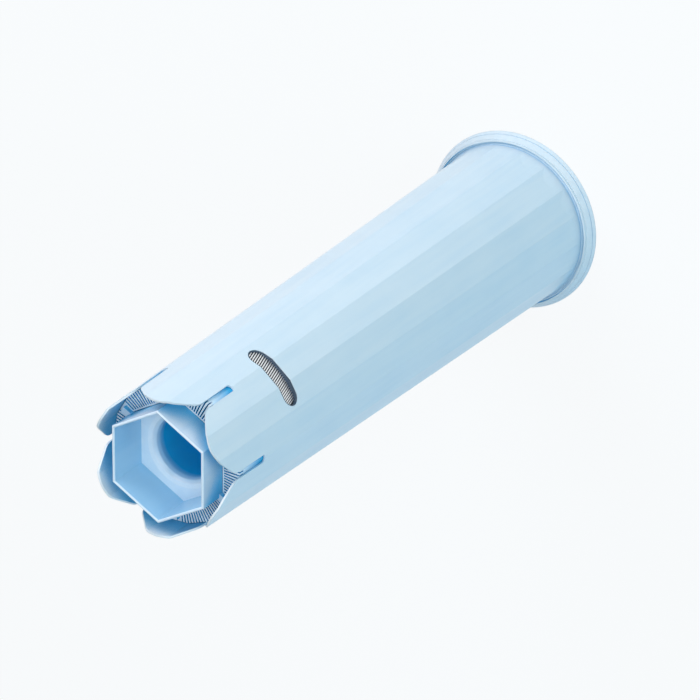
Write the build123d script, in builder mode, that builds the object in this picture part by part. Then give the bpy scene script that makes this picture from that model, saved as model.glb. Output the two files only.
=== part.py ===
from build123d import *
import os
from math import cos, pi, radians, sin, tan

# Water filter cartridge for a coffee machine, in millimetres.
# It stands on its closed flange end, with the docking crown at the top.
# The origin is the centre of the resting face, +Z points to the crown, and a slit faces -Y.

# Housing
overall_height = 145.3      # resting face to the petal tips
flange_diameter = 42.5
flange_overhang = 2.5       # flange beyond the tube's facet corners, a side
draft = 1.25                # taper of the facets, degrees a side
facet_count = 18
wall = 1.0
petal_wall = 0.45           # wall of the petals, above the sieve's seat

# Flange
rim_slope = 29.0            # lean of the flange's side from upright, degrees
cap_rim = 0.7               # height of the end cap's rim
flange_rim = 1.4            # height of the housing's sloping rim
bead_height = 0.6           # upright bead on top of it
bead_step = 0.12
rim_land = 0.4              # flat top of the bead
groove_depth = 0.75         # ring groove inside the bead
groove_slope = 0.15
groove_width = 0.24         # flat floor of the groove
collar_lip = 0.07           # collar proud of the facet corners
run_out = 4.2               # height over which the collar fades into the facets
seam = 0.2                  # chamfer that makes the seam between cap and housing

# Crown
petal_count = 6
slit_width = 1.6
slit_depth = 15.7           # petal tip to the slit's closed end
slit_round = 0.6
lip_round = 3.0             # where a petal's flank turns into the slit
flank_angle = 47.5
tip_radius = 5.0

# Docking socket
socket_gap = 1.86           # from the socket's corners to the housing's bore, at the sieve
socket_wall = 0.6
socket_draft = 1.0
socket_drop = 0.55          # socket rim below the petal tips
socket_depth = 9.45
socket_edge = 0.2           # chamfers of the socket's rim
floor_thickness = 1.2
port_diameter = 13.6
port_lip = 1.8
port_depth = 12.5
spigot_wall = 1.4
neck_length = 5.5
neck_wall = 1.3
neck_stop = 1.2             # shoulder that the riser tube butts against
lug_width = 1.5
lug_height = 1.1

# Inlet sieve
sieve_drop = 6.9            # socket rim to the sieve's upper face
sieve_thickness = 1.4
sieve_land = 0.35           # solid edge between the slots and the socket
sieve_slot = 0.3
sieve_pitch = 2.75          # degrees from slot to slot
sieve_slots = 19            # along each flat of the socket
skirt_overlap = 1.2         # the sieve's skirt below the slits' closed ends

# Side window and its gauze
window_drop = 27.8          # socket rim to the window's middle
window_turn = -11.0         # degrees from the front slit
window_width = 4.45
window_length = 14.2
frame_wall = 0.3
frame_recess = 0.15
gauze_thickness = 0.4
gauze_margin = 1.2
gauze_slant = 27.0          # lean of the gauze wires from the axis, degrees
gauze_pitch = 0.36
gauze_gap = 0.17

# Riser tube, strainer plates, fleeces and granules
riser_diameter = 8.4
riser_wall = 1.0
riser_ports = 4
riser_port_width = 3.0
cap_floor = 1.3
boss_height = 2.0
boss_wall = 1.2
chamber_height = 4.7        # collecting chamber inside the end cap
spigot_width = 1.7          # ring of the end cap that carries the outlet grid
grid_thickness = 1.5
grid_slots = 12
grid_slot = 1.2
fleece_thickness = 2.0
inlet_chamber = 37.2        # socket rim to the inlet grid
stop_width = 1.5            # stops in the housing above the inlet grid
stop_depth = 1.0
stop_height = 2.5

clearance = 0.1
round_steps = 3             # flats that stand for a quarter round in a turned profile

# Derived heights and radii
flange_radius = flange_diameter / 2
root_radius = flange_radius - flange_overhang      # to the facet corners, at the resting face
bead_bottom = cap_rim + flange_rim
flange_top = bead_bottom + bead_height
groove_floor = flange_top - groove_depth
socket_end = overall_height - socket_drop
socket_floor = socket_end - socket_depth
socket_base = socket_floor - floor_thickness
sieve_top = socket_end - sieve_drop
sieve_bottom = sieve_top - sieve_thickness
slit_end = overall_height - slit_depth
sieve_seat = slit_end - skirt_overlap      # ledge in the bore that the sieve's skirt stands on
window_height = socket_end - window_drop
chamber_top = cap_floor + chamber_height
bed_bottom = chamber_top + grid_thickness + fleece_thickness
inlet_grid_top = socket_end - inlet_chamber
inlet_grid_bottom = inlet_grid_top - grid_thickness
bed_top = inlet_grid_bottom - fleece_thickness
port_end = socket_floor - port_depth
riser_radius = riser_diameter / 2
riser_top = port_end - neck_stop
petal_angle = 360 / petal_count
front = -90                 # direction of the front slit, degrees from +X
cut_top = overall_height + tip_radius      # cutters run past the petal tips


def flat_radius(z):
    """Radius to the middle of a facet."""
    return root_radius * cos(pi / facet_count) - z * tan(radians(draft))


def corner_radius(z):
    return flat_radius(z) / cos(pi / facet_count)


def bore_radius(z):
    return flat_radius(z) - wall


def rim_radius(z):
    return flange_radius - z * tan(radians(rim_slope))


socket_radius = bore_radius(sieve_top) - socket_gap     # to the socket's outer corners


def facing(angle, z=0):
    """Upright plane through the axis that faces outwards at an angle from +X."""
    a = radians(angle)
    return Plane(origin=(0, 0, z), x_dir=(-sin(a), cos(a), 0), z_dir=(cos(a), sin(a), 0))


def quarter_round(x, z, radius, start):
    """Points of a quarter circle about (x, z) in a turned profile, clockwise from an angle in degrees."""
    turns = [radians(start - 90 * i / round_steps) for i in range(round_steps + 1)]
    return [(x + radius * cos(turn), z + radius * sin(turn)) for turn in turns]


slit_angles = [front + petal_angle * i for i in range(petal_count)]
petal_angles = [angle + petal_angle / 2 for angle in slit_angles]
facet_turn = front % (360 / facet_count)
socket_turn = petal_angles[0]


def faceted_slab(low, high, inset, taper=draft):
    """Drafted slab with the housing's facets, at an inset from its outside."""
    with BuildPart() as slab:
        with BuildSketch(Plane.XY.offset(low)):
            RegularPolygon(flat_radius(low) - inset, facet_count, major_radius=False, rotation=facet_turn)
        extrude(amount=high - low, taper=taper)
    return slab.part


# Housing: faceted tube with flange, petals, slits and window
with BuildPart() as housing:
    add(faceted_slab(cap_rim, overall_height, 0))

    # Flange with its sloping rim, bead, ring groove and collar
    with BuildSketch(Plane.XZ):
        with BuildLine():
            collar = corner_radius(groove_floor) + collar_lip
            collar_end = flange_top + run_out
            bead_edge = rim_radius(bead_bottom) - bead_step
            land_edge = bead_edge - rim_land
            groove_edge = land_edge - groove_slope
            collar_foot = groove_edge - groove_width - collar
            Polyline((collar + collar_foot, groove_floor), (collar, groove_floor + collar_foot),
                     (flat_radius(collar_end), collar_end),
                     (bore_radius(0), collar_end), (bore_radius(0), cap_rim),
                     (rim_radius(cap_rim) - seam, cap_rim), (rim_radius(cap_rim + seam), cap_rim + seam),
                     (rim_radius(bead_bottom), bead_bottom), (bead_edge, bead_bottom),
                     (bead_edge, flange_top), (land_edge, flange_top),
                     (groove_edge, groove_floor), close=True)
        make_face()
    revolve(axis=Axis.Z)

    # Bore, parallel to the outside, and wider in the crown
    add(faceted_slab(cap_rim, sieve_seat, wall), mode=Mode.SUBTRACT)
    add(faceted_slab(sieve_seat, overall_height, petal_wall), mode=Mode.SUBTRACT)

    # Stops that hold the inlet grid
    with BuildSketch(Plane.XY.offset(inlet_grid_top)):
        for angle in petal_angles:
            reach = stop_depth + wall / 2
            middle = bore_radius(inlet_grid_top) + wall / 2 - reach / 2
            with PolarLocations(middle, 1, start_angle=angle):
                Rectangle(reach, stop_width)
    extrude(amount=stop_height)

    # Slits that open out between the petals
    with BuildSketch(*[facing(angle) for angle in slit_angles]):
        with BuildLine():
            apex = corner_radius(overall_height) * sin(radians(petal_angle / 2))
            shoulder = apex - tip_radius * tan(radians(flank_angle / 2))
            mouth = overall_height - (shoulder - slit_width / 2) * tan(radians(flank_angle))
            past = apex + slit_width
            FilletPolyline((0, slit_end), (slit_width / 2, slit_end), (slit_width / 2, mouth),
                           (shoulder, overall_height), (past, overall_height),
                           radius=[slit_round, lip_round, tip_radius])
            Polyline((past, overall_height), (past, cut_top), (0, cut_top), (0, slit_end))
        make_face()
        mirror(about=Plane.YZ)
    extrude(amount=flange_radius, mode=Mode.SUBTRACT)

    # Oblong side window
    with BuildSketch(facing(front + window_turn, window_height)):
        SlotOverall(window_length, window_width)
    extrude(amount=flange_radius, mode=Mode.SUBTRACT)
housing.part.label = "housing"


# End cap: disc with a ring inside that carries the outlet grid, and a boss for the riser tube
with BuildPart() as end_cap:
    ring_inset = flat_radius(cap_rim) - bore_radius(chamber_top) + clearance
    add(faceted_slab(cap_rim, chamber_top, ring_inset, taper=0))
    add(faceted_slab(cap_rim, chamber_top, ring_inset + spigot_width, taper=0), mode=Mode.SUBTRACT)
    with BuildSketch(Plane.XZ):
        with BuildLine():
            boss_in = riser_radius + clearance
            boss_out = boss_in + boss_wall
            boss_top = cap_floor + boss_height
            ring_middle = bore_radius(chamber_top) - clearance - spigot_width / 2
            Polyline((0, 0), (flange_radius, 0), (rim_radius(cap_rim), cap_rim), (ring_middle, cap_rim),
                     (ring_middle, cap_floor), (boss_out, cap_floor), (boss_out, boss_top),
                     (boss_in, boss_top), (boss_in, cap_floor), (0, cap_floor), (0, 0))
        make_face()
    revolve(axis=Axis.Z)
end_cap.part.label = "end_cap"


# Docking socket: hexagonal cup with the outlet port, its spigot and six lugs that rest on the sieve
with BuildPart() as docking_socket:
    with BuildSketch(Plane.XY.offset(socket_base)):
        RegularPolygon(socket_radius, petal_count, rotation=socket_turn)
    extrude(amount=socket_end - socket_base)
    with BuildSketch(Plane.XY.offset(socket_end)):
        pocket = socket_radius - socket_wall / cos(pi / petal_count)
        RegularPolygon(pocket, petal_count, rotation=socket_turn)
    extrude(amount=-socket_depth, taper=socket_draft, mode=Mode.SUBTRACT)
    chamfer(docking_socket.faces().sort_by(Axis.Z)[-1].edges(), socket_edge)
    with BuildSketch(Plane.XZ):
        with BuildLine():
            port_radius = port_diameter / 2
            spigot_out = port_radius + spigot_wall
            neck_in = riser_radius + clearance
            neck_out = neck_in + neck_wall
            flow = riser_radius - riser_wall
            neck_end = riser_top - neck_length
            Polyline((port_radius, socket_floor), (spigot_out, socket_floor), (spigot_out, riser_top),
                     (neck_out, riser_top), (neck_out, neck_end),
                     (neck_in, neck_end), (neck_in, riser_top),
                     (flow, riser_top), (flow, port_end),
                     (port_radius, port_end), (port_radius, socket_floor))
        make_face()
    revolve(axis=Axis.Z)
    with BuildSketch(Plane.XZ):
        with BuildLine():
            Polyline(*quarter_round(port_radius + port_lip, socket_floor - port_lip, port_lip, 180),
                     (0, socket_floor), (0, port_end), (port_radius, port_end), close=True)
        make_face()
    revolve(axis=Axis.Z, mode=Mode.SUBTRACT)
    with BuildSketch(Plane.XY.offset(sieve_top)):
        for angle in petal_angles:
            lug_end = bore_radius(sieve_top) - 2 * clearance
            lug_start = socket_radius - socket_wall
            with PolarLocations((lug_start + lug_end) / 2, 1, start_angle=angle):
                Rectangle(lug_end - lug_start, lug_width)
    extrude(amount=lug_height)
docking_socket.part.label = "docking_socket"


# Inlet sieve: comb ring between socket and petals, on a skirt that stands behind the slits
with BuildPart() as inlet_sieve:
    add(faceted_slab(sieve_seat, sieve_top, petal_wall + clearance))
    add(faceted_slab(sieve_seat, sieve_bottom, wall), mode=Mode.SUBTRACT)
    with BuildSketch(Plane.XY.offset(sieve_bottom)):
        sieve_hole = socket_radius + clearance / cos(pi / petal_count)
        RegularPolygon(sieve_hole, petal_count, rotation=socket_turn)
        for flat in slit_angles:
            for i in range(sieve_slots):
                turn = (i - (sieve_slots - 1) / 2) * sieve_pitch
                start = sieve_hole * cos(pi / petal_count) / cos(radians(turn)) + sieve_land
                end = corner_radius(sieve_bottom)
                with PolarLocations((start + end) / 2, 1, start_angle=flat + turn):
                    Rectangle(end - start, sieve_slot)
    extrude(amount=sieve_thickness, mode=Mode.SUBTRACT)
inlet_sieve.part.label = "inlet_sieve"


# Gauze frame: thin lining of the window, just below the facets
with BuildPart() as gauze_frame:
    low, high = window_height - window_width, window_height + window_width
    add(faceted_slab(low, high, frame_recess))
    add(faceted_slab(low, high, wall), mode=Mode.SUBTRACT)
    with BuildSketch(facing(front + window_turn, window_height)):
        SlotOverall(window_length - clearance, window_width - clearance)
        SlotOverall(window_length - 2 * frame_wall, window_width - 2 * frame_wall, mode=Mode.SUBTRACT)
    extrude(amount=flange_radius, mode=Mode.INTERSECT)
gauze_frame.part.label = "gauze_frame"


# Window gauze: bent strip against the inside of the wall, with slanting wires across the window
with BuildPart() as window_gauze:
    low, high = window_height - window_width, window_height + window_width
    gauze_face = wall + clearance / 2
    add(faceted_slab(low, high, gauze_face))
    add(faceted_slab(low, high, gauze_face + gauze_thickness), mode=Mode.SUBTRACT)
    with BuildSketch(facing(front + window_turn, window_height)):
        SlotOverall(window_length + 2 * gauze_margin, window_width + 2 * gauze_margin)
        wires = int(window_length / gauze_pitch) - 1
        gap_length = window_width / cos(radians(gauze_slant))
        with GridLocations(gauze_pitch, 1, wires, 1):
            Rectangle(gauze_gap, gap_length, rotation=-gauze_slant, mode=Mode.SUBTRACT)
    extrude(amount=flange_radius, mode=Mode.INTERSECT)
window_gauze.part.label = "window_gauze"


# Riser tube: stands in the end cap's boss and ends in the socket's neck, with ports at its foot
with BuildPart() as riser_tube:
    with BuildSketch(Plane.XY.offset(cap_floor)):
        Circle(riser_radius)
        Circle(riser_radius - riser_wall, mode=Mode.SUBTRACT)
    extrude(amount=riser_top - cap_floor)
    port_low = cap_floor + boss_height
    with BuildSketch(*[facing(360 / riser_ports * i, port_low) for i in range(riser_ports)]):
        port_high = chamber_height - boss_height
        Rectangle(riser_port_width, port_high, align=(Align.CENTER, Align.MIN))
    extrude(amount=riser_diameter, mode=Mode.SUBTRACT)
riser_tube.part.label = "riser_tube"


def disc_with_hole(z, thickness):
    """Slab that fits the bore and the riser tube, for a plate, a fleece or the granules."""
    with BuildPart() as slab:
        add(faceted_slab(z, z + thickness, wall + clearance))
        with BuildSketch(Plane.XY.offset(z)):
            Circle(riser_radius + clearance)
        extrude(amount=thickness, mode=Mode.SUBTRACT)
    return slab.part


def strainer_plate(z):
    """Slab with radial slots that let water through to the fleece beside it."""
    with BuildPart() as plate:
        add(disc_with_hole(z, grid_thickness))
        with BuildSketch(Plane.XY.offset(z)):
            start = riser_radius + boss_wall + grid_slot
            end = bore_radius(z) - spigot_width - grid_slot
            with PolarLocations((start + end) / 2, grid_slots):
                Rectangle(end - start, grid_slot)
        extrude(amount=grid_thickness, mode=Mode.SUBTRACT)
    return plate.part


outlet_grid = strainer_plate(chamber_top)
outlet_grid.label = "outlet_grid"
outlet_fleece = disc_with_hole(chamber_top + grid_thickness, fleece_thickness)
outlet_fleece.label = "outlet_fleece"
filter_bed = disc_with_hole(bed_bottom, bed_top - bed_bottom)
filter_bed.label = "filter_bed"
inlet_fleece = disc_with_hole(bed_top, fleece_thickness)
inlet_fleece.label = "inlet_fleece"
inlet_grid = strainer_plate(inlet_grid_bottom)
inlet_grid.label = "inlet_grid"


os.makedirs("parts", exist_ok=True)
export_step(housing.part, "parts/housing.step")
export_step(end_cap.part, "parts/end_cap.step")
export_step(docking_socket.part, "parts/docking_socket.step")
export_step(inlet_sieve.part, "parts/inlet_sieve.step")
export_step(gauze_frame.part, "parts/gauze_frame.step")
export_step(window_gauze.part, "parts/window_gauze.step")
export_step(riser_tube.part, "parts/riser_tube.step")
export_step(outlet_grid, "parts/outlet_grid.step")
export_step(outlet_fleece, "parts/outlet_fleece.step")
export_step(filter_bed, "parts/filter_bed.step")
export_step(inlet_fleece, "parts/inlet_fleece.step")
export_step(inlet_grid, "parts/inlet_grid.step")
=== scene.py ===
import math

import bmesh
import bpy
from mathutils import Matrix, Vector


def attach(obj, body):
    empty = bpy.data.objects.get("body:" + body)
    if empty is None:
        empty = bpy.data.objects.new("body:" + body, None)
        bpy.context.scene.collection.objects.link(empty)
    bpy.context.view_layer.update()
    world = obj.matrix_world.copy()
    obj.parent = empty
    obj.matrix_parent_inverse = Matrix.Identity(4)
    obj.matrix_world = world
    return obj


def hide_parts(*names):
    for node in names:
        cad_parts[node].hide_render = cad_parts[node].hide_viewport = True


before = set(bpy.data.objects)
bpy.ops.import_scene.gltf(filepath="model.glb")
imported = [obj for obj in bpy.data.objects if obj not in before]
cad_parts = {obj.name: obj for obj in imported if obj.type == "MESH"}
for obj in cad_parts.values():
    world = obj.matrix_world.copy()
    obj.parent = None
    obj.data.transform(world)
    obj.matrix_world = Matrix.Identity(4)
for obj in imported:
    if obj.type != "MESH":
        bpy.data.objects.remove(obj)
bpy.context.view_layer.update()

# Looks of a water filter cartridge: a pale blue moulding with a slotted crown and a steel gauze window.

MM = 0.001

# Camera, fitted to the photograph
IMAGE_SIDE = 700                    # pixels
FOCAL_PIXELS = 4144.0
SENSOR_MM = 36.0
AIM_HEIGHT_MM = 65.45               # point on the axis that the lens looks at
AIM_PIXEL = (363.4, 324.0)
CAMERA_DISTANCE_MM = 885.8
CAMERA_ELEVATION = 50.94            # degrees
CAMERA_AZIMUTH = -107.2             # degrees from +X
CAMERA_ROLL = 124.85                # degrees, as the cartridge lies aslant in the picture
CAMERA_NEAR = 0.01                  # metres

# Studio
WHITE = (1.0, 1.0, 1.0, 1.0)
FLOOR_RADIUS = 3.0                  # metres
FLOOR_SIDES = 64
FLOOR_DROP_MM = 0.05                # below the cartridge's foot
FLOOR_COLOUR = "#B8E2F2"
FLOOR_WHITE_SHARE = 0.9             # plain white in what the lens sees of it
WORLD_LEVEL = 0.2                   # of the light that falls on the cartridge
# Softboxes: direction from the cartridge's middle, distance and side in metres, watts, colour
SOFTBOXES = {
    "key": ((0.8, -0.5, 0.45), 0.7, 0.5, 3.35, "#FFF1F6"),
    "front": ((-0.4, -0.75, 0.6), 0.8, 0.6, 2.4, "#FFFFFF"),
    "top": ((-0.1, -0.15, 1.0), 0.8, 0.5, 1.9, "#FFFFFF"),
    "blue_card": ((-0.85, 0.35, 0.15), 0.7, 0.6, 1.7, "#22B4EA"),
}

# Gauze in the side window, in millimetres and degrees
WINDOW_DIRECTION = -101.0           # from +X
WINDOW_HEIGHT = 116.95
WINDOW_FACE = 16.0                  # radius of the facets round the window
OPENING_LENGTH = 13.6               # inside the window's frame
OPENING_WIDTH = 3.85
WIRE_BITE = 0.2                     # a wire's end in the wall
WIRE_DIAMETER = 0.31
WIRE_SIDES = 10
WIRE_SHARP_EDGE = 60.0              # a steeper edge, as at a wire's end, stays sharp
WIRE_PITCH = 0.54                   # coarser than real, so that single wires show
WIRE_SLANT = 15.0                   # lean from the axis, away from +X
WIRE_DEPTH = 0.80                   # below the facets, at the window's middle
WIRE_DEPTH_CHANGE = -0.35           # from there to the window's +X end

# Plastics
POLYPROPYLENE_IOR = 1.49
ELASTOMER_IOR = 1.5
# Heights between which a blue plastic is painted a deeper blue, as painted shade down its port or slots
NO_WELL_MM = (0.0, -1.0)            # heights under the foot, where nothing is
SOCKET_WELL_MM = (135.0, 132.0)     # from just below the socket's floor, down the port
COMB_WELL_MM = (137.8, 130.5)       # from the comb's top down its slots


def linear(hex_colour):
    """Linear RGBA of an sRGB hex colour."""
    levels = [int(hex_colour[i:i + 2], 16) / 255 for i in (1, 3, 5)]
    return [v / 12.92 if v <= 0.04045 else ((v + 0.055) / 1.055) ** 2.4 for v in levels] + [1.0]


def add_node(tree, kind, inputs=None, **settings):
    """Adds a node, sets its properties, and fills or links its inputs."""
    node = tree.nodes.new(kind)
    for name, value in settings.items():
        setattr(node, name, value)
    for name, value in (inputs or {}).items():
        if isinstance(value, bpy.types.NodeSocket):
            tree.links.new(value, node.inputs[name])
        else:
            node.inputs[name].default_value = value
    return node


def new_material(name):
    """An empty node material, its tree and its output node."""
    material = bpy.data.materials.new(name)
    material.use_nodes = True
    tree = material.node_tree
    tree.nodes.clear()
    return material, tree, add_node(tree, "ShaderNodeOutputMaterial")


def moulded_polypropylene(name, pale, deep, hollow_shade, roughness, peel_mm, well_mm=NO_WELL_MM,
                          outer_share=1.0, inner_share=0.0):
    """Injection moulded polypropylene: satin gloss, faint cloudiness, flow lines along the draw, fine orange peel.

    Painted shade: the sides of its narrow hollows (less so where they look up), its walls that look at the axis,
    and its well between two heights are painted a deeper blue. Its edges are slightly rounded by the mould.
    """
    cloud_mm, flow_mm, flow_stretch = 14.0, 1.6, 0.05
    all_pale, all_deep = 0.12, 0.42             # cloud times flow lines
    hollow_mm, open_air, shut_in = 8.0, 0.62, 0.2
    top_share = 0.1                             # of the painted shade in the hollows, on faces that look up
    not_inner_mm, inner_mm = 7.0, 9.5           # distance from the axis to a wall that looks at it
    glossy_flow, dull_flow, gloss_change = 0.2, 0.8, 0.012
    peel_strength, peel_depth_mm = 0.06, 0.05
    edge_mm = 0.15
    material, tree, output = new_material(name)
    where = add_node(tree, "ShaderNodeTexCoord")
    place = where.outputs["Object"]
    cloud = add_node(tree, "ShaderNodeTexNoise",
                     {"Vector": place, "Scale": 1 / (cloud_mm * MM), "Detail": 3.0})
    drawn = add_node(tree, "ShaderNodeMapping", {"Vector": place, "Scale": (1.0, 1.0, flow_stretch)})
    flow = add_node(tree, "ShaderNodeTexNoise",
                    {"Vector": drawn.outputs["Vector"], "Scale": 1 / (flow_mm * MM), "Detail": 2.0})
    mixed = add_node(tree, "ShaderNodeMath",
                     {0: cloud.outputs["Fac"], 1: flow.outputs["Fac"]}, operation="MULTIPLY")
    share = add_node(tree, "ShaderNodeMapRange",
                     {"Value": mixed.outputs["Value"], "From Min": all_pale, "From Max": all_deep})
    colour = add_node(tree, "ShaderNodeMix", {"Factor": share.outputs["Result"]}, data_type="RGBA")
    colour.inputs["A"].default_value = linear(pale)
    colour.inputs["B"].default_value = linear(deep)
    # Painted shade: a deeper blue where ambient occlusion finds narrow hollows, on walls that look at the axis,
    # and between the well's two heights
    openness = add_node(tree, "ShaderNodeAmbientOcclusion", {"Distance": hollow_mm * MM}, samples=8)
    narrow = add_node(tree, "ShaderNodeMapRange",
                      {"Value": openness.outputs["AO"], "From Min": open_air, "From Max": shut_in})
    facing = add_node(tree, "ShaderNodeSeparateXYZ", {"Vector": where.outputs["Normal"]}).outputs["Z"]
    upright = add_node(tree, "ShaderNodeMapRange",
                       {"Value": facing, "To Min": outer_share, "To Max": top_share})
    sides = add_node(tree, "ShaderNodeMath",
                     {0: narrow.outputs["Result"], 1: upright.outputs["Result"]}, operation="MULTIPLY")
    height = add_node(tree, "ShaderNodeSeparateXYZ", {"Vector": place}).outputs["Z"]
    sunk = add_node(tree, "ShaderNodeMapRange",
                    {"Value": height, "From Min": well_mm[0] * MM, "From Max": well_mm[1] * MM})
    flat = add_node(tree, "ShaderNodeMapping", {"Vector": place, "Scale": (1.0, 1.0, 0.0)})
    outward = add_node(tree, "ShaderNodeVectorMath",
                       {0: flat.outputs["Vector"], 1: where.outputs["Normal"]}, operation="DOT_PRODUCT")
    inner = add_node(tree, "ShaderNodeMapRange",
                     {"Value": outward.outputs["Value"], "From Min": -not_inner_mm * MM,
                      "From Max": -inner_mm * MM, "To Max": inner_share})
    walls = add_node(tree, "ShaderNodeMath",
                     {0: sides.outputs["Value"], 1: inner.outputs["Result"]}, operation="MAXIMUM")
    depth = add_node(tree, "ShaderNodeMath",
                     {0: walls.outputs["Value"], 1: sunk.outputs["Result"]}, operation="MAXIMUM")
    # The base colour mixed towards the painted shade colour
    colour_with_painted_shade = add_node(tree, "ShaderNodeMix",
                      {"Factor": depth.outputs["Value"], "A": colour.outputs["Result"]}, data_type="RGBA")
    colour_with_painted_shade.inputs["B"].default_value = linear(hollow_shade)
    gloss = add_node(tree, "ShaderNodeMapRange",
                     {"Value": flow.outputs["Fac"], "From Min": glossy_flow, "From Max": dull_flow,
                      "To Min": roughness - gloss_change, "To Max": roughness + gloss_change})
    peel = add_node(tree, "ShaderNodeTexNoise",
                    {"Vector": place, "Scale": 1 / (peel_mm * MM), "Detail": 1.0})
    edge = add_node(tree, "ShaderNodeBevel", {"Radius": edge_mm * MM}, samples=6)
    bump = add_node(tree, "ShaderNodeBump",
                    {"Height": peel.outputs["Fac"], "Normal": edge.outputs["Normal"],
                     "Strength": peel_strength, "Distance": peel_depth_mm * MM})
    shader = add_node(tree, "ShaderNodeBsdfPrincipled",
                      {"Base Color": colour_with_painted_shade.outputs["Result"], "Roughness": gloss.outputs["Result"],
                       "Normal": bump.outputs["Normal"], "IOR": POLYPROPYLENE_IOR})
    tree.links.new(shader.outputs["BSDF"], output.inputs["Surface"])
    return material


def drawn_steel_gauze():
    """Stainless steel wire: bright drawn metal with fine scratches and a little tarnish."""
    scratch_mm, scratch_strength, scratch_depth_mm = 0.12, 0.2, 0.02
    smooth, scratched = 0.22, 0.42              # roughness
    material, tree, output = new_material("stainless_steel_drawn_wire")
    place = add_node(tree, "ShaderNodeTexCoord").outputs["Object"]
    grain = add_node(tree, "ShaderNodeTexNoise",
                     {"Vector": place, "Scale": 1 / (scratch_mm * MM), "Detail": 2.0})
    colour = add_node(tree, "ShaderNodeMix", {"Factor": grain.outputs["Fac"]}, data_type="RGBA")
    colour.inputs["A"].default_value = linear("#FFFFFF")
    colour.inputs["B"].default_value = linear("#E9EDF0")
    gloss = add_node(tree, "ShaderNodeMapRange",
                     {"Value": grain.outputs["Fac"], "To Min": smooth, "To Max": scratched})
    bump = add_node(tree, "ShaderNodeBump",
                    {"Height": grain.outputs["Fac"], "Strength": scratch_strength,
                     "Distance": scratch_depth_mm * MM})
    shader = add_node(tree, "ShaderNodeBsdfPrincipled",
                      {"Base Color": colour.outputs["Result"], "Roughness": gloss.outputs["Result"],
                       "Normal": bump.outputs["Normal"], "Metallic": 1.0})
    tree.links.new(shader.outputs["BSDF"], output.inputs["Surface"])
    return material


def moulded_elastomer():
    """Slate thermoplastic elastomer round the window: dull, with a fine eroded grain."""
    grain_mm, grain_strength, grain_depth_mm = 0.15, 0.15, 0.03
    material, tree, output = new_material("elastomer_slate_eroded")
    place = add_node(tree, "ShaderNodeTexCoord").outputs["Object"]
    grain = add_node(tree, "ShaderNodeTexNoise",
                     {"Vector": place, "Scale": 1 / (grain_mm * MM), "Detail": 2.0})
    colour = add_node(tree, "ShaderNodeMix", {"Factor": grain.outputs["Fac"]}, data_type="RGBA")
    colour.inputs["A"].default_value = linear("#3C5266")
    colour.inputs["B"].default_value = linear("#2A3D50")
    bump = add_node(tree, "ShaderNodeBump",
                    {"Height": grain.outputs["Fac"], "Strength": grain_strength,
                     "Distance": grain_depth_mm * MM})
    shader = add_node(tree, "ShaderNodeBsdfPrincipled",
                      {"Base Color": colour.outputs["Result"], "Roughness": 0.45,
                       "Normal": bump.outputs["Normal"], "IOR": ELASTOMER_IOR})
    tree.links.new(shader.outputs["BSDF"], output.inputs["Surface"])
    return material


def natural_polypropylene():
    """Uncoloured polypropylene of the inner plates: milky, with soft cloudiness and a dull sheen."""
    cloud_mm, cloud_strength, cloud_depth_mm = 5.0, 0.05, 0.1
    material, tree, output = new_material("polypropylene_natural_dull")
    place = add_node(tree, "ShaderNodeTexCoord").outputs["Object"]
    cloud = add_node(tree, "ShaderNodeTexNoise",
                     {"Vector": place, "Scale": 1 / (cloud_mm * MM), "Detail": 4.0})
    colour = add_node(tree, "ShaderNodeMix", {"Factor": cloud.outputs["Fac"]}, data_type="RGBA")
    colour.inputs["A"].default_value = linear("#E9EDEE")
    colour.inputs["B"].default_value = linear("#D8DFE3")
    bump = add_node(tree, "ShaderNodeBump",
                    {"Height": cloud.outputs["Fac"], "Strength": cloud_strength,
                     "Distance": cloud_depth_mm * MM})
    shader = add_node(tree, "ShaderNodeBsdfPrincipled",
                      {"Base Color": colour.outputs["Result"], "Roughness": 0.4,
                       "Normal": bump.outputs["Normal"], "IOR": POLYPROPYLENE_IOR})
    tree.links.new(shader.outputs["BSDF"], output.inputs["Surface"])
    return material


def needled_fleece():
    """White polyester fleece: matted fibres that scatter light, with no gloss."""
    fibre_mm, fibre_strength, fibre_depth_mm = 0.4, 0.8, 0.2
    material, tree, output = new_material("polyester_fleece_needled")
    place = add_node(tree, "ShaderNodeTexCoord").outputs["Object"]
    fibre = add_node(tree, "ShaderNodeTexNoise",
                     {"Vector": place, "Scale": 1 / (fibre_mm * MM), "Detail": 5.0, "Distortion": 1.5})
    colour = add_node(tree, "ShaderNodeMix", {"Factor": fibre.outputs["Fac"]}, data_type="RGBA")
    colour.inputs["A"].default_value = linear("#F4F3EF")
    colour.inputs["B"].default_value = linear("#D9D8D2")
    bump = add_node(tree, "ShaderNodeBump",
                    {"Height": fibre.outputs["Fac"], "Strength": fibre_strength,
                     "Distance": fibre_depth_mm * MM})
    shader = add_node(tree, "ShaderNodeBsdfPrincipled",
                      {"Base Color": colour.outputs["Result"], "Roughness": 0.95,
                       "Normal": bump.outputs["Normal"], "Sheen Weight": 0.3})
    tree.links.new(shader.outputs["BSDF"], output.inputs["Surface"])
    return material


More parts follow.
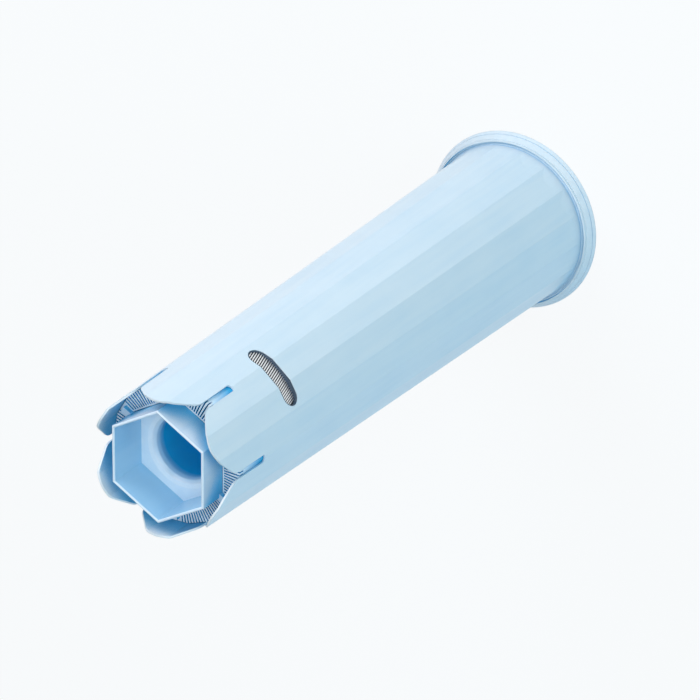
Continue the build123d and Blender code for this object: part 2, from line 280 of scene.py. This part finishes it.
def packed_granules():
    """Ion exchange beads with carbon grains: round cells of pale resin, some of them black."""
    bead_mm, carbon_share = 0.8, 0.2
    bead_strength, bead_depth_mm = 1.0, 0.3
    material, tree, output = new_material("ion_exchange_beads_packed")
    place = add_node(tree, "ShaderNodeTexCoord").outputs["Object"]
    beads = add_node(tree, "ShaderNodeTexVoronoi", {"Vector": place, "Scale": 1 / (bead_mm * MM)})
    split = add_node(tree, "ShaderNodeSeparateColor", {"Color": beads.outputs["Color"]})
    carbon = add_node(tree, "ShaderNodeMath",
                      {0: split.outputs["Red"], 1: carbon_share}, operation="LESS_THAN")
    colour = add_node(tree, "ShaderNodeMix", {"Factor": carbon.outputs["Value"]}, data_type="RGBA")
    colour.inputs["A"].default_value = linear("#E2D3B0")
    colour.inputs["B"].default_value = linear("#26262A")
    bump = add_node(tree, "ShaderNodeBump",
                    {"Height": beads.outputs["Distance"], "Strength": bead_strength,
                     "Distance": bead_depth_mm * MM}, invert=True)
    shader = add_node(tree, "ShaderNodeBsdfPrincipled",
                      {"Base Color": colour.outputs["Result"], "Roughness": 0.5,
                       "Normal": bump.outputs["Normal"]})
    tree.links.new(shader.outputs["BSDF"], output.inputs["Surface"])
    return material


def gauze_wires():
    """Slanting round wires, side by side across the window, with their ends moulded into the wall round it."""
    bm = bmesh.new()
    slant = math.radians(WIRE_SLANT)
    row = OPENING_LENGTH + OPENING_WIDTH * math.tan(slant)
    length = OPENING_WIDTH / math.cos(slant) + 2 * WIRE_BITE
    count = int(row / WIRE_PITCH)
    for i in range(count):
        across = (i - (count - 1) / 2) * WIRE_PITCH
        radius = WINDOW_FACE - WIRE_DEPTH - WIRE_DEPTH_CHANGE * across / (row / 2)
        turn = Matrix.Rotation(math.radians(WINDOW_DIRECTION) + across / WINDOW_FACE, 4, "Z")
        seat = Matrix.Translation((radius, 0, WINDOW_HEIGHT))
        lean = Matrix.Rotation(slant, 4, "X")
        bmesh.ops.create_cone(bm, cap_ends=True, segments=WIRE_SIDES, radius1=WIRE_DIAMETER / 2,
                              radius2=WIRE_DIAMETER / 2, depth=length, matrix=turn @ seat @ lean)
    bmesh.ops.transform(bm, matrix=Matrix.Scale(MM, 4), verts=bm.verts)
    mesh = bpy.data.meshes.new("gauze_wires")
    bm.to_mesh(mesh)
    bm.free()
    mesh.shade_smooth()
    mesh.set_sharp_from_angle(angle=math.radians(WIRE_SHARP_EDGE))
    piece = bpy.data.objects.new("gauze_wires", mesh)
    bpy.context.scene.collection.objects.link(piece)
    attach(piece, "root")
    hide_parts("window_gauze")
    return piece


def add_camera():
    """Long lens above the crown, rolled so that the cartridge lies aslant in the picture."""
    polar, around, roll = (math.radians(a) for a in (90 - CAMERA_ELEVATION, CAMERA_AZIMUTH, CAMERA_ROLL))
    back = Vector((math.sin(polar) * math.cos(around), math.sin(polar) * math.sin(around), math.cos(polar)))
    level = Vector((-math.sin(around), math.cos(around), 0.0))
    rise = back.cross(level)
    right = level * math.cos(roll) - rise * math.sin(roll)
    up = level * math.sin(roll) + rise * math.cos(roll)
    data = bpy.data.cameras.new("camera")
    data.sensor_width = SENSOR_MM
    data.lens = FOCAL_PIXELS * SENSOR_MM / IMAGE_SIDE
    data.shift_x = 0.5 - AIM_PIXEL[0] / IMAGE_SIDE
    data.shift_y = AIM_PIXEL[1] / IMAGE_SIDE - 0.5
    data.clip_start = CAMERA_NEAR
    camera = bpy.data.objects.new("camera", data)
    camera.matrix_world = Matrix((right, up, back)).transposed().to_4x4()
    camera.location = Vector((0, 0, AIM_HEIGHT_MM * MM)) + back * CAMERA_DISTANCE_MM * MM
    bpy.context.scene.collection.objects.link(camera)
    bpy.context.scene.camera = camera


def add_softbox(name, direction, distance, side, watts, colour):
    """Square soft light that looks at the middle of the cartridge."""
    data = bpy.data.lights.new(name, "AREA")
    data.size = side
    data.energy = watts
    data.color = linear(colour)[:3]
    lamp = bpy.data.objects.new(name, data)
    towards = Vector(direction).normalized()
    lamp.location = Vector((0, 0, AIM_HEIGHT_MM * MM)) + towards * distance
    lamp.rotation_euler = towards.to_track_quat("Z", "Y").to_euler()
    bpy.context.scene.collection.objects.link(lamp)


def seen_directly(tree):
    """1 for rays of the lens, of reflections and of clear bodies, 0 for the light that falls on the object."""
    path = add_node(tree, "ShaderNodeLightPath")
    seen = add_node(tree, "ShaderNodeMath",
                    {0: path.outputs["Is Camera Ray"], 1: path.outputs["Is Glossy Ray"]}, operation="MAXIMUM")
    seen = add_node(tree, "ShaderNodeMath",
                    {0: seen.outputs["Value"], 1: path.outputs["Is Transmission Ray"]}, operation="MAXIMUM")
    return seen.outputs["Value"]


def add_floor():
    """Plain floor with a faint shadow: mostly white to the lens and in reflections, pale blue to other light."""
    bm = bmesh.new()
    bmesh.ops.create_circle(bm, cap_ends=True, segments=FLOOR_SIDES, radius=FLOOR_RADIUS,
                            matrix=Matrix.Translation((0, 0, -FLOOR_DROP_MM * MM)))
    mesh = bpy.data.meshes.new("floor")
    bm.to_mesh(mesh)
    bm.free()
    floor = bpy.data.objects.new("floor", mesh)
    bpy.context.scene.collection.objects.link(floor)
    material, tree, output = new_material("paper_white_matt")
    share = add_node(tree, "ShaderNodeMath",
                     {0: seen_directly(tree), 1: FLOOR_WHITE_SHARE}, operation="MULTIPLY")
    paper = add_node(tree, "ShaderNodeBsdfDiffuse", {"Color": linear(FLOOR_COLOUR)})
    white = add_node(tree, "ShaderNodeEmission", {"Color": WHITE, "Strength": 1.0})
    mix = add_node(tree, "ShaderNodeMixShader", {"Fac": share.outputs["Value"], 1: paper.outputs["BSDF"],
                                                 2: white.outputs["Emission"]})
    tree.links.new(mix.outputs["Shader"], output.inputs["Surface"])
    mesh.materials.append(material)


def add_world():
    """Even white surroundings: a plain level for the object, white to the lens."""
    world = bpy.data.worlds.new("studio")
    bpy.context.scene.world = world
    world.use_nodes = True
    tree = world.node_tree
    tree.nodes.clear()
    output = add_node(tree, "ShaderNodeOutputWorld")
    level = add_node(tree, "ShaderNodeMapRange",
                     {"Value": seen_directly(tree), "To Min": WORLD_LEVEL, "To Max": 1.0})
    sky = add_node(tree, "ShaderNodeBackground", {"Color": WHITE, "Strength": level.outputs["Result"]})
    tree.links.new(sky.outputs["Background"], output.inputs["Surface"])


def paint(piece, material):
    """Gives a piece its one material."""
    piece.data.materials.clear()
    piece.data.materials.append(material)


# The fourth colour of each blue plastic is painted shade, for its hollows, its walls that look at the axis and its
# well
blue_satin = moulded_polypropylene("polypropylene_pale_blue_satin", "#D4E6EE", "#CBE1EC", "#2EB0E0",
                                   roughness=0.32, peel_mm=0.5)
blue_gloss = moulded_polypropylene("polypropylene_pale_blue_gloss", "#D6EBF8", "#CCE5F5", "#22BAEC",
                                   roughness=0.22, peel_mm=0.4, well_mm=SOCKET_WELL_MM,
                                   outer_share=0.9, inner_share=0.45)
# Painted light: the comb is the pale blue gloss plastic painted paler, so that its ribs look lit where they lie in
# shade
blue_comb_painted_lighter = moulded_polypropylene("polypropylene_pale_blue_gloss_painted_lighter", "#EAF8FE", "#E0F3FB", "#1FAAE0",
                                  roughness=0.22, peel_mm=0.4, well_mm=COMB_WELL_MM)
steel = drawn_steel_gauze()
slate = moulded_elastomer()
milky = natural_polypropylene()
fleece = needled_fleece()
granules = packed_granules()

for name in ("housing", "end_cap"):
    paint(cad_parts[name], blue_satin)
paint(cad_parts["docking_socket"], blue_gloss)
paint(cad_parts["inlet_sieve"], blue_comb_painted_lighter)
paint(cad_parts["gauze_frame"], slate)
paint(gauze_wires(), steel)
for name in ("riser_tube", "outlet_grid", "inlet_grid"):
    paint(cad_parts[name], milky)
for name in ("outlet_fleece", "inlet_fleece"):
    paint(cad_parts[name], fleece)
paint(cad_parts["filter_bed"], granules)

add_camera()
add_floor()
add_world()
for name, settings in SOFTBOXES.items():
    add_softbox(name, *settings)
bpy.context.scene.view_settings.view_transform = "Standard"
